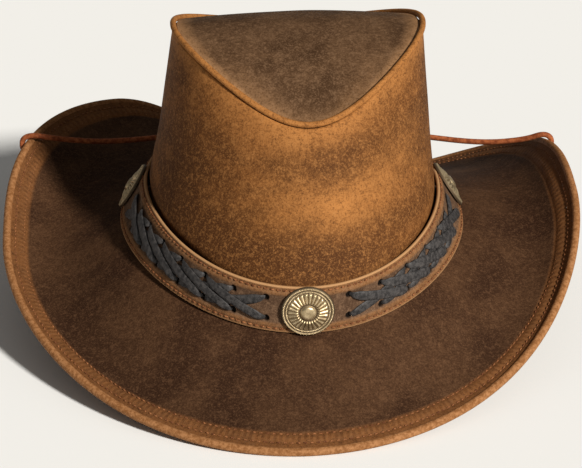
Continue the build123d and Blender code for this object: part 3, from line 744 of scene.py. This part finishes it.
def crown_shade_and_darkening(angle, rise):
    """How dark the crown is painted: painted shade down its left side and low on the left, the side away from
    the key lamp, and darker patches under the rim, low at the front and on the right.
    """
    # Painted shade: the left side, turned from the key lamp, is darkened in its colour.
    left_side = 0.75 * hump(angle, 218, 34) * bell(rise, 0.4, 0.4)
    low_left = 0.7 * hump(angle, 225, 30) * bell(rise, 0.22, 0.14)
    under_rim = 0.35 * hump(angle, 290, 40) * bell(rise, 0.82, 0.08)
    low_front = 0.85 * hump(angle, 270, 60) * bell(rise, 0.34, 0.11)
    right_side = 0.4 * hump(angle, 335, 30) * bell(rise, 0.6, 0.4)
    return np.clip(left_side + low_left + under_rim + low_front + right_side, 0, 1)


def make_crown_wall():
    angle = ring_angles(540)
    top = WALL_TOP_SHARE
    along, depth = slab_outline(WALL_HEIGHT * top, WALL_THICKNESS, 90)
    rise = along / WALL_HEIGHT
    swell = leather_waves(wall_point(angle, rise + 0 * angle, depth + 0 * angle), 38.0, 0.5, 1)
    fade = np.clip(rise / 0.1, 0, 1) * np.clip((top - rise) / 0.1, 0, 1)
    grid = wall_point(angle, rise + 0 * angle, depth - swell * fade)
    # The crown's wear share holds a painted crease highlight across the front as well as wear.
    # The darkening share paints shade on the crown's left side, and darker patches elsewhere.
    shares = {"wear": crown_wear_and_highlight(angle, rise), "shade_and_darkening": crown_shade_and_darkening(angle, rise)}
    obj = grid_object("crown_wall_leather", grid, True, True, shares)
    place(obj, "hat", crown_leather, "crown_leather", "crown_wall")


def tip_edge(angle):
    """Edge of the crown's tip, just inside the welt."""
    ahead = rim_point(angle + 0.5) - rim_point(angle - 0.5)
    level_out = unit(points(ahead[..., 1], -ahead[..., 0], 0.0 * angle))
    return rim_point(angle) - level_out * TIP_INSET - np.array((0.0, 0.0, TIP_DROP))


def tip_point(angle, share, depth):
    """Point on the crown's tip: share from -1 to 1 across it at one angle of its rim."""
    left, right = tip_edge(angle), tip_edge(180 - angle)
    middle = (left + right) / 2
    half = (left[..., 0] - right[..., 0]) / 2
    back = (sine(angle) + 1) / 2
    dome = TIP_BACK_DOME * back - TIP_FRONT_HOLLOW * (1 - back)
    z = middle[..., 2] + dome * (1 - share * share) - depth
    return points(middle[..., 0] + share * half, middle[..., 1] + 0 * z, z)


def make_crown_tip():
    angle = np.linspace(-TIP_END_ANGLE, TIP_END_ANGLE, 180)[:, None]
    along, depth = slab_outline(2.0, 1.0, 90, corner=0.02)
    share = along - 1 + 0 * angle
    deep = TIP_THICKNESS * depth + 0 * angle
    swell = leather_waves(tip_point(angle, share, deep), 30.0, 0.5, 2) * (1 - share**2)
    grid = tip_point(angle, share, deep - swell)
    edge_wear = 0.9 * np.clip((np.abs(share) - 0.86) / 0.14, 0, 1)
    scuffs = 0.75 * hump(angle, -90, 20) + 0.35 * hump(angle, -60, 25) * bell(np.abs(share), 0.8, 0.25)
    shares = {"wear": np.clip(edge_wear + scuffs, 0, 1), "shade_and_darkening": 0.0}
    obj = grid_object("crown_tip_leather", grid, False, True, shares)
    place(obj, "hat", tip_leather, "crown_leather", "crown_tip")


def make_welt():
    angle = ring_angles(540)[:, 0]
    centres = rim_point(angle)
    grid = tube_grid(centres, oval_normal(angle, RIM), WELT_RADIUS, 14)
    obj = grid_object("crown_welt_leather", grid, True, True, {"wear": 0.8, "shade_and_darkening": 0.0})
    place(obj, "hat", crown_leather, "worn_edge_leather", "crown_welt")


def seam_relief(from_edge):
    """Relief of the stitched edge: a groove under each row of stitches and a swell between the two."""
    outer, inner = OUTER_STITCH_INSET - EDGE_MARGIN, INNER_STITCH_INSET - EDGE_MARGIN
    grooves = bell(from_edge, outer, 0.8) + bell(from_edge, inner, 0.8)
    return 0.35 * bell(from_edge, (outer + inner) / 2, 1.9) - 0.3 * grooves


def brim_shares(angle, from_edge):
    """Wear along the stitched edge of the brim, and the puckers between its two rows of stitches."""
    outer, inner = OUTER_STITCH_INSET - EDGE_MARGIN, INNER_STITCH_INSET - EDGE_MARGIN
    wear = 0.85 * np.clip((inner + 1.2 - from_edge) / 1.5, 0, 1)
    between = bell(from_edge, (outer + inner) / 2, (inner - outer) / 2.6)
    pulled = 0.5 + 0.5 * np.cos(np.radians(angle) * BRIM_PUCKERS)
    return {"wear": wear + 0 * angle, "shade_and_darkening": 0.0, "pucker": between + 0 * angle, "pulled": pulled + 0 * wear}


def make_brim_upper():
    angle = ring_angles(1080)
    along, depth = slab_outline(1.0, 1.0, 110, corner=0.004)
    reach = brim_inset(angle, EDGE_MARGIN)
    along = along ** BRIM_POINT_CROWDING
    distance = along * reach
    deep = UPPER_THICKNESS * depth + 0 * angle
    swell = leather_waves(brim_point(angle, distance, deep), 45.0, 0.4, 3)
    fade = np.clip((1 - along) / 0.2, 0, 1) * np.clip(along / 0.1, 0, 1)
    ridge = seam_relief(reach - distance) * (depth < 0.5)
    grid = brim_point(angle, distance, deep - swell * fade - ridge)
    obj = grid_object("brim_upper_leather", grid, True, True, brim_shares(angle, reach - distance))
    place(obj, "hat", brim_leather, "brim_leather", "brim_upper")


def make_brim_lower():
    angle = ring_angles(540)
    along, depth = slab_outline(1.0, 1.0, 50, corner=0.004)
    reach = brim_inset(angle, EDGE_MARGIN)
    distance = along * reach
    top = UPPER_THICKNESS + LAYER_GAP
    grid = brim_point(angle, distance, top + LOWER_THICKNESS * depth + 0 * angle)
    wear = 0.5 * np.clip((INNER_STITCH_INSET - (reach - distance)) / 4.0, 0, 1)
    obj = grid_object("brim_lower_leather", grid, True, True, {"wear": wear, "shade_and_darkening": 0.0})
    place(obj, "hat", underside_leather, "underside_leather", "brim_lower")


def make_edge_binding():
    angle = ring_angles(720)[:, 0]
    centres = edge_centre(angle)
    outward = unit(edge_point(angle) - opening_point(angle))
    grid = tube_grid(centres, outward, EDGE_RADIUS, 14)
    obj = grid_object("brim_edge_rolled", grid, True, True)
    place(obj, "hat", worn_edge_leather, "worn_edge_leather", "brim_edge_binding")


def stitch_shape(length, width, height):
    """Points of one plump stitch as (along, across, up) arrays, and its faces."""
    t = np.linspace(-1, 1, STITCH_RINGS)
    turn = np.arange(STITCH_SIDES) * 2 * np.pi / STITCH_SIDES
    thick = np.sqrt(np.maximum(1 - t**4, 0.02))[:, None]
    arch = (height * 0.55 * (1 - t**2))[:, None]
    along = np.repeat(t * length / 2, STITCH_SIDES)
    across = (thick * np.cos(turn)[None, :]).reshape(-1) * width / 2
    up = (thick * np.sin(turn)[None, :] * height / 2 + arch).reshape(-1) - height * 0.2
    faces = []
    for ring in range(STITCH_RINGS - 1):
        near, far = ring * STITCH_SIDES, (ring + 1) * STITCH_SIDES
        for side in range(STITCH_SIDES):
            after = (side + 1) % STITCH_SIDES
            faces.append((near + side, near + after, far + after, far + side))
    faces.append(tuple(range(STITCH_SIDES))[::-1])
    faces.append(tuple(range((STITCH_RINGS - 1) * STITCH_SIDES, STITCH_RINGS * STITCH_SIDES)))
    return along, across, up, faces


def stitch_row(name, face, normal, stitch):
    """Ring of separate stitches along a closed line of points, with the normal of the face at each."""
    pitch, length, width, height = stitch
    steps = np.linalg.norm(np.diff(face, axis=0, append=face[:1]), axis=1)
    run = np.concatenate([[0], np.cumsum(steps)])[:-1]
    total = run[-1] + steps[-1]
    count = int(total / pitch)
    where = np.interp((np.arange(count) + 0.5) * total / count, run, np.arange(len(face)))
    low = np.floor(where).astype(int)
    high = (low + 1) % len(face)
    part = (where - low)[:, None]
    centre = face[low] * (1 - part) + face[high] * part
    along = unit(face[high] - face[low])
    up = unit(normal[low] * (1 - part) + normal[high] * part)
    across = np.cross(up, along)
    x, y, z, faces = stitch_shape(length, width, height)
    verts = centre[:, None, :] + x[None, :, None] * along[:, None, :]
    verts = verts + y[None, :, None] * across[:, None, :] + z[None, :, None] * up[:, None, :]
    every = []
    for first in range(0, count * len(x), len(x)):
        every.extend(tuple(first + corner for corner in corners) for corners in faces)
    mesh = bpy.data.meshes.new(name)
    mesh.from_pydata((verts.reshape(-1, 3) * MM).tolist(), [], every)
    return finish_mesh(name, mesh)


def make_brim_stitches(name, inset):
    angle = ring_angles(1440)[:, 0]
    middle = brim_inset(angle, inset)
    face = brim_point(angle, middle, BRIM_STITCH_SINK)
    normal = unit(face - brim_point(angle, middle, 1.0))
    obj = stitch_row(f"{name}_thread", face, normal, BRIM_STITCH)
    place(obj, "hat", thread, "thread", name)


def lace_spans():
    """First and last hole angle of each laced stretch of the strap, clear of the conchos."""
    front, left, right = CONCHO_ANGLES["front"], CONCHO_ANGLES["left"], CONCHO_ANGLES["right"]
    return {
        "lace_front_left": (front + LACE_MARGIN, left + 360 - LACE_MARGIN),
        "lace_front_right": (right + LACE_MARGIN, front - LACE_MARGIN),
        "lace_back": (left + LACE_MARGIN, right - LACE_MARGIN),
    }


def lace_hole_angles(first, last):
    """Angles of the punched holes along a laced stretch, both ends included."""
    count = round((last - first) / LACE_PITCH_ANGLE)
    return np.linspace(first, last, count + 1)


def lace_hole_share(angle, up):
    """1 inside the punched holes of the strap, 0 away from them."""
    mm_per_degree = np.radians((BAND[0] + BAND[1]) / 2)
    hole = np.zeros_like(up)
    for first, last in lace_spans().values():
        for centre in lace_hole_angles(first, last):
            away = ((angle - centre + 180) % 360 - 180) * mm_per_degree
            for row in (LACE_LOW_ROW, LACE_HIGH_ROW):
                outside = np.hypot(away, up - row) - LACE_HOLE_RADIUS
                hole = np.maximum(hole, np.clip(1 - outside / LACE_HOLE_EDGE, 0, 1))
    return hole


def make_strap():
    joint = BAND_JOINT_GAP_ANGLE
    angle = np.linspace(BAND_JOINT_ANGLE + joint, BAND_JOINT_ANGLE + 360 - joint, 1800)[:, None]
    along, depth = slab_outline(BAND_WIDTH, BAND_THICKNESS, 60)
    up = along + 0 * angle
    face = depth < 0.01
    hole = lace_hole_share(angle, up) * face
    edge = np.minimum(up, BAND_WIDTH - up)
    padding = BAND_PADDING * bell(edge, BAND_PADDING_INSET, 1.5)
    padding = padding - BAND_GROOVE * bell(edge, BAND_STITCH_INSET, 0.7)
    grid = band_point(angle, up, padding * face - depth - LACE_HOLE_DEPTH * hole)
    wear = 0.8 * np.clip((5.6 - edge) / 1.2, 0, 1) * (1 - hole)
    cut_edge = np.clip((0.9 - edge) / 0.4, 0, 1)
    shares = {"wear": wear, "shade_and_darkening": 0.0, "cut": cut_edge, "hole": hole}
    obj = grid_object("hatband_strap_leather", grid, False, True, shares)
    place(obj, "hat", strap_leather, "hatband_leather", "hatband_strap")


def lace_strand(first, last, low, high, layer):
    """Grid of one flat strand that dives into a hole at each end; layer 1 lies over layer 0."""
    t = np.linspace(0.015, 0.985, 61)[:, None]
    near_end = np.minimum(t, 1 - t)
    angle = first + (last - first) * t
    half = LACE_WIDTH / 2 * (0.24 + 0.76 * np.clip((near_end - 0.015) / 0.15, 0, 1) ** 0.55)
    turn = np.arange(16)[None, :] * 2 * np.pi / 16
    across = half * np.sign(np.cos(turn)) * np.abs(np.cos(turn)) ** 0.7
    lift = LACE_THICKNESS / 2 * np.sin(turn)
    dive = np.clip((near_end - 0.015) / 0.06, 0, 1) ** 0.6
    lie = 0.5 * LACE_THICKNESS + 0.1 + layer * 0.9 * LACE_THICKNESS * np.clip(near_end / 0.2, 0, 1)
    out = -LACE_DIVE + (LACE_DIVE + lie) * dive
    return band_point(angle, low + (high - low) * t + across, out + lift)


def make_lace(name, first, last):
    """Crossed lacing: at each hole one strand rises and one falls over it."""
    holes = lace_hole_angles(first, last)
    parts = []
    for i in range(len(holes) - LACE_REACH):
        parts.append(lace_strand(holes[i], holes[i + LACE_REACH], LACE_LOW_ROW, LACE_HIGH_ROW, 0))
        parts.append(lace_strand(holes[i], holes[i + LACE_REACH], LACE_HIGH_ROW, LACE_LOW_ROW, 1))
    objects = [grid_object(f"{name}_strand_{k}", grid, False, True) for k, grid in enumerate(parts)]
    join(objects, f"{name}_strands")
    place(objects[0], "hat", dark_lace, "dark_lace", name)


def join(objects, name):
    """Joins objects into the first one."""
    with bpy.context.temp_override(active_object=objects[0], selected_editable_objects=objects):
        bpy.ops.object.join()
    objects[0].name = name


def make_band_stitches(name, low):
    angle = ring_angles(1440, BAND_JOINT_ANGLE)[:, 0]
    face = band_point(angle, low, 0.0)
    normal = band_frame(angle)[2]
    obj = stitch_row(f"{name}_thread", face, normal, BAND_STITCH)
    place(obj, "hat", thread, "thread", name)


def concho_rope(radius, turn, middle, spread, twists):
    """Height from 0 to 1 of a roped ring of the concho."""
    return bell(radius, middle, spread) * (0.75 + 0.25 * np.cos(turn * twists))


def concho_face(radius, turn):
    """Height of the concho's face above the strap, and how hollow and so how dark it is."""
    ridge = np.abs(np.cos(turn * CONCHO_FLUTES / 2)) ** 0.7
    flutes = np.clip((radius - CONCHO_FLUTE_START) / 1.2, 0, 1)
    flutes = flutes * np.clip((CONCHO_FLUTE_END - radius) / 0.5, 0, 1)
    inner = concho_rope(radius, turn, CONCHO_INNER_ROPE, 0.35, CONCHO_INNER_ROPE_TWISTS)
    outer = concho_rope(radius, turn, CONCHO_OUTER_ROPE, 0.45, CONCHO_OUTER_ROPE_TWISTS)
    dome = CONCHO_DOME_HEIGHT * np.sqrt(np.clip(1 - (radius / CONCHO_DOME_RADIUS) ** 2, 0, 1))
    height = CONCHO_FACE + CONCHO_DISH_HEIGHT * bell(radius, 5.0, 3.4) + dome
    height = height + CONCHO_FLUTE_HEIGHT * flutes * ridge
    height = height + CONCHO_INNER_ROPE_HEIGHT * inner + CONCHO_OUTER_ROPE_HEIGHT * outer
    rim = np.clip((radius - CONCHO_RIM_START) / (CONCHO_RADIUS - CONCHO_RIM_START), 0, 1)
    on_dome = radius < CONCHO_DOME_RADIUS - 0.1
    hollow = np.clip(1 - 1.6 * (flutes * ridge + inner + outer + on_dome), 0, 1)
    return height - CONCHO_RIM_DROP * rim**2, hollow


def make_concho(side):
    """Cast disc with a dome, a ring of flutes and two roped rings, on its threaded post."""
    turn = np.linspace(0, 2 * np.pi, 30 * CONCHO_FLUTES, endpoint=False)[:, None]
    inside = np.linspace(0.05, 4.3, 14)
    fluted = np.linspace(4.5, 10.6, 22)
    roped = np.linspace(10.8, CONCHO_RADIUS, 22)
    face_r = np.concatenate([inside, fluted, roped])[None, :]
    height, hollow = concho_face(face_r, turn)
    back_r = np.array([[CONCHO_RADIUS, CONCHO_POST_RADIUS, CONCHO_POST_RADIUS, 0.05]])
    back_z = np.array([[CONCHO_BACK, CONCHO_BACK, -CONCHO_POST_LENGTH, -CONCHO_POST_LENGTH]])
    flat = 0 * turn
    r = np.concatenate([face_r + flat, back_r + flat], axis=1)
    z = np.concatenate([height, back_z + flat], axis=1)
    hollow = np.concatenate([hollow + flat, 0 * back_r + flat + 0.3], axis=1)
    angle = np.array(CONCHO_ANGLES[side])
    middle = band_point(angle, BAND_WIDTH / 2)
    _, up, away = band_frame(angle)
    across = np.cross(up, away)
    x, y = r * np.cos(turn), r * np.sin(turn)
    grid = middle + x[..., None] * across + y[..., None] * up + z[..., None] * away
    obj = grid_object(f"concho_{side}_cast", grid, True, False, {"hollow": hollow})
    place(obj, f"concho_{side}", antique_brass, "antique_brass", f"concho_{side}")


def make_sweatband():
    angle = ring_angles(360)
    along, depth = slab_outline(SWEATBAND_HEIGHT - SWEATBAND_FOOT, SWEATBAND_THICKNESS, 16)
    grid = sweatband_point(angle, SWEATBAND_FOOT + along + 0 * angle, depth + 0 * angle)
    obj = grid_object("sweatband_leather", grid, True, True)
    place(obj, "hat", sweatband_leather, "sweatband_leather", "sweatband")


def make_sweatband_stitches():
    angle = ring_angles(1080)[:, 0]
    face = sweatband_point(angle, SWEATBAND_STITCH_HEIGHT + 0 * angle, SWEATBAND_THICKNESS)
    normal = -oval_normal(angle, WALL_FOOT)
    obj = stitch_row("sweatband_thread", face, normal, SWEATBAND_STITCH)
    place(obj, "hat", thread, "thread", "sweatband_stitches")


def finish_cad_nodes():
    """Better materials for the CAD nodes that are shown as they are."""
    finishes = {
        "crown_back_seam_strip": worn_edge_leather,
        "crown_back_stitches": thread,
        "brim_wire": wire_steel,
        "hatband_joining_patch": sweatband_leather,
        "sweatband_reed": worn_edge_leather,
        "concho_screw_front": antique_brass,
        "concho_screw_left": antique_brass,
        "concho_screw_right": antique_brass,
        "cord_tab_left": sweatband_leather,
        "cord_tab_right": sweatband_leather,
        "cord_knot_left": cord_leather,
        "cord_knot_right": cord_leather,
    }
    for name, material in finishes.items():
        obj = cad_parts[name]
        obj.data.materials.clear()
        obj.data.materials.append(material)


def make_stage():
    """Pale floor, even surround and one key lamp."""
    size = FLOOR_HALF_SIZE
    corners = [(-size, -size, 0), (size, -size, 0), (size, size, 0), (-size, size, 0)]
    mesh = bpy.data.meshes.new("floor")
    mesh.from_pydata(corners, [], [(0, 1, 2, 3)])
    floor = bpy.data.objects.new("floor", mesh)
    scene.collection.objects.link(floor)
    mesh.materials.append(Finish("floor_paper", 0.9, specular=0.1).finish(FLOOR_COLOUR))
    world = bpy.data.worlds.new("surround")
    world.use_nodes = True
    background = world.node_tree.nodes["Background"]
    background.inputs["Color"].default_value = (*SURROUND_COLOUR, 1)
    background.inputs["Strength"].default_value = SURROUND_STRENGTH
    scene.world = world
    lamp = bpy.data.lights.new("key", "SUN")
    lamp.energy = KEY_STRENGTH
    lamp.angle = KEY_ANGLE
    lamp.color = KEY_COLOUR
    key = bpy.data.objects.new("key", lamp)
    key.rotation_euler = KEY_TRAVEL.to_track_quat("-Z", "Y").to_euler()
    scene.collection.objects.link(key)
    scene.view_settings.view_transform = "Standard"


make_camera()
make_cord()
make_crown_wall()
make_crown_tip()
make_welt()
make_brim_upper()
make_brim_lower()
make_edge_binding()
make_brim_stitches("brim_stitches_outer", OUTER_STITCH_INSET)
make_brim_stitches("brim_stitches_inner", INNER_STITCH_INSET)
make_strap()
for lace_name, (lace_first, lace_last) in lace_spans().items():
    make_lace(lace_name, lace_first, lace_last)
make_band_stitches("hatband_stitches_bottom", BAND_STITCH_INSET)
make_band_stitches("hatband_stitches_top", BAND_WIDTH - BAND_STITCH_INSET)
for concho_side in CONCHO_ANGLES:
    make_concho(concho_side)
make_sweatband()
make_sweatband_stitches()
finish_cad_nodes()
make_stage()
